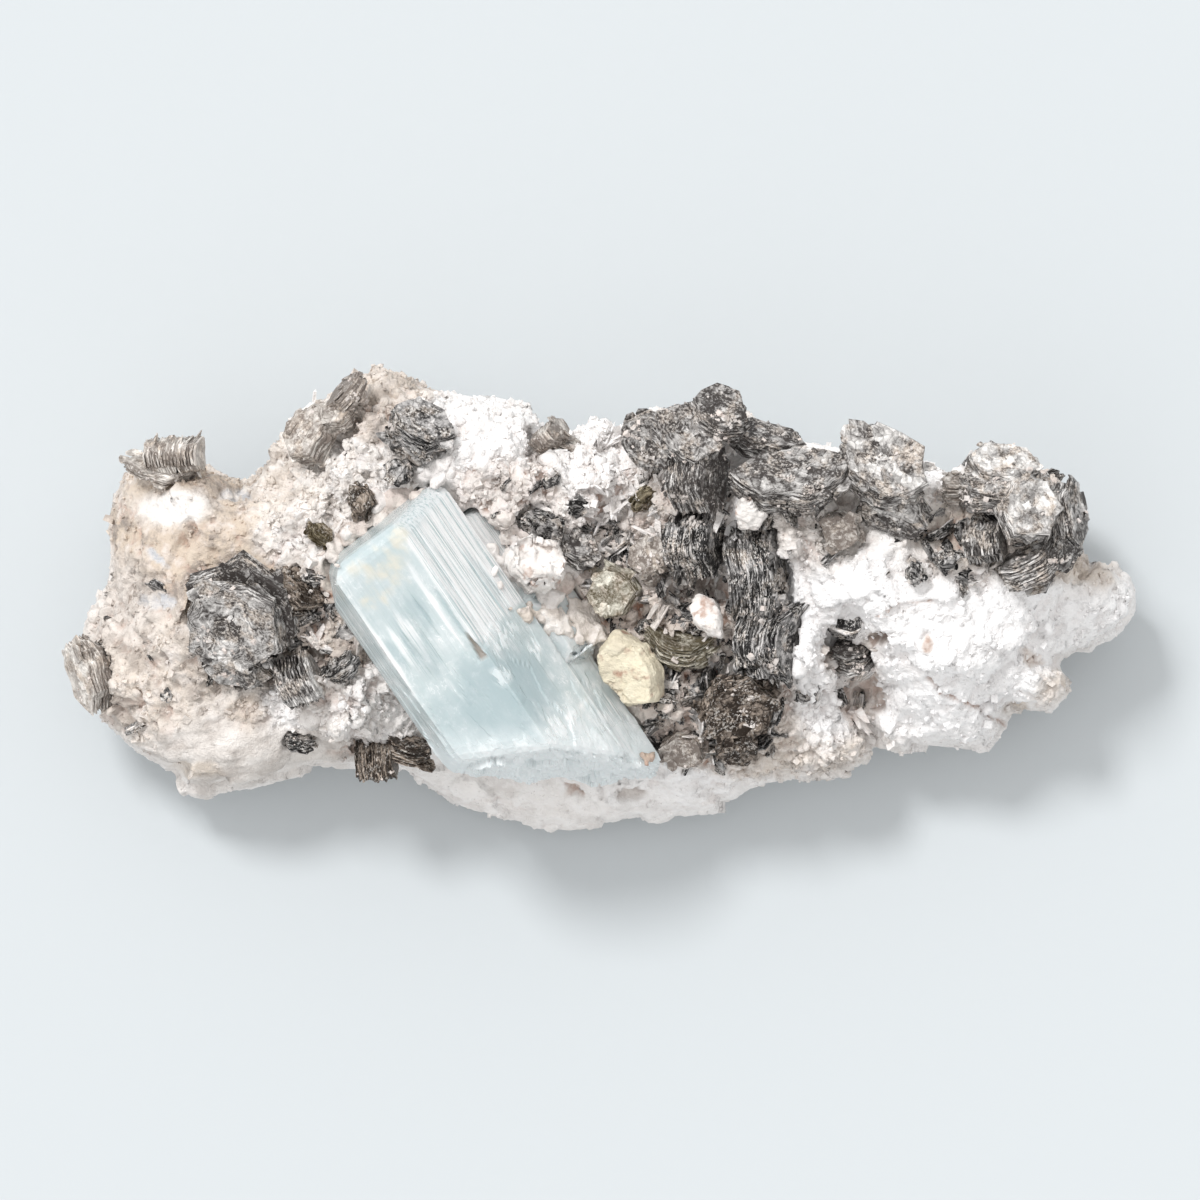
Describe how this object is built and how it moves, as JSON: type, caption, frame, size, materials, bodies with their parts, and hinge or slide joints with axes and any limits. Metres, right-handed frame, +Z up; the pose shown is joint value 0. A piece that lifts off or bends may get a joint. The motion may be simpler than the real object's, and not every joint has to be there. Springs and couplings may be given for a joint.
{
  "type": "aquamarine crystal specimen",
  "caption": "Blue aquamarine prism lying across a white albite matrix with dark mica books, resting on its flat trimmed back.",
  "frame": {"origin": "under the middle of the bounding box, on the surface that the flat trimmed back rests on", "axes": "+X along the specimen's length, +Y across it, +Z up out of the display side"},
  "size_m": [0.1205, 0.0522, 0.0376],
  "materials": {
    "albite": "rough, sugary to bladed white feldspar",
    "cream_feldspar": "dull cream feldspar",
    "mica": "dark silvery layered mica, pearly on the flat faces",
    "brown_mica": "brownish see-through mica, pearly on the flat faces",
    "aquamarine": "milky pale blue, striated along its length, glassy"
  },
  "bodies": {
    "root": {"albite_blade_high": "albite", "albite_blade_low": "albite", "albite_matrix": "albite", "albite_overgrowth": "albite", "aquamarine_crystal": "aquamarine", "cream_feldspar": "cream_feldspar", "mica_back_prism": "mica", "mica_barrel": "mica", "mica_black": "mica", "mica_brown_chip": "brown_mica", "mica_brown_fleck": "brown_mica", "mica_cap": "mica", "mica_centre_dark": "mica", "mica_centre_grey": "mica", "mica_column": "mica", "mica_crown": "mica", "mica_crown_left": "mica", "mica_disc": "brown_mica", "mica_fan": "mica", "mica_flank_chip": "mica", "mica_grey_block": "mica", "mica_hanging": "mica", "mica_hanging_chip": "mica", "mica_in_pocket": "mica", "mica_left_edge": "mica", "mica_lower": "mica", "mica_nub": "mica", "mica_olive": "brown_mica", "mica_ridge_left": "mica", "mica_ridge_right": "mica", "mica_right": "mica", "mica_rosette": "mica", "mica_smoky_patch": "brown_mica", "mica_spot_high": "mica", "mica_spot_low": "mica", "mica_striped_block": "mica", "mica_tan_low": "brown_mica", "mica_tip_chip": "mica", "mica_wedge": "mica"}
  },
  "joints": []
}
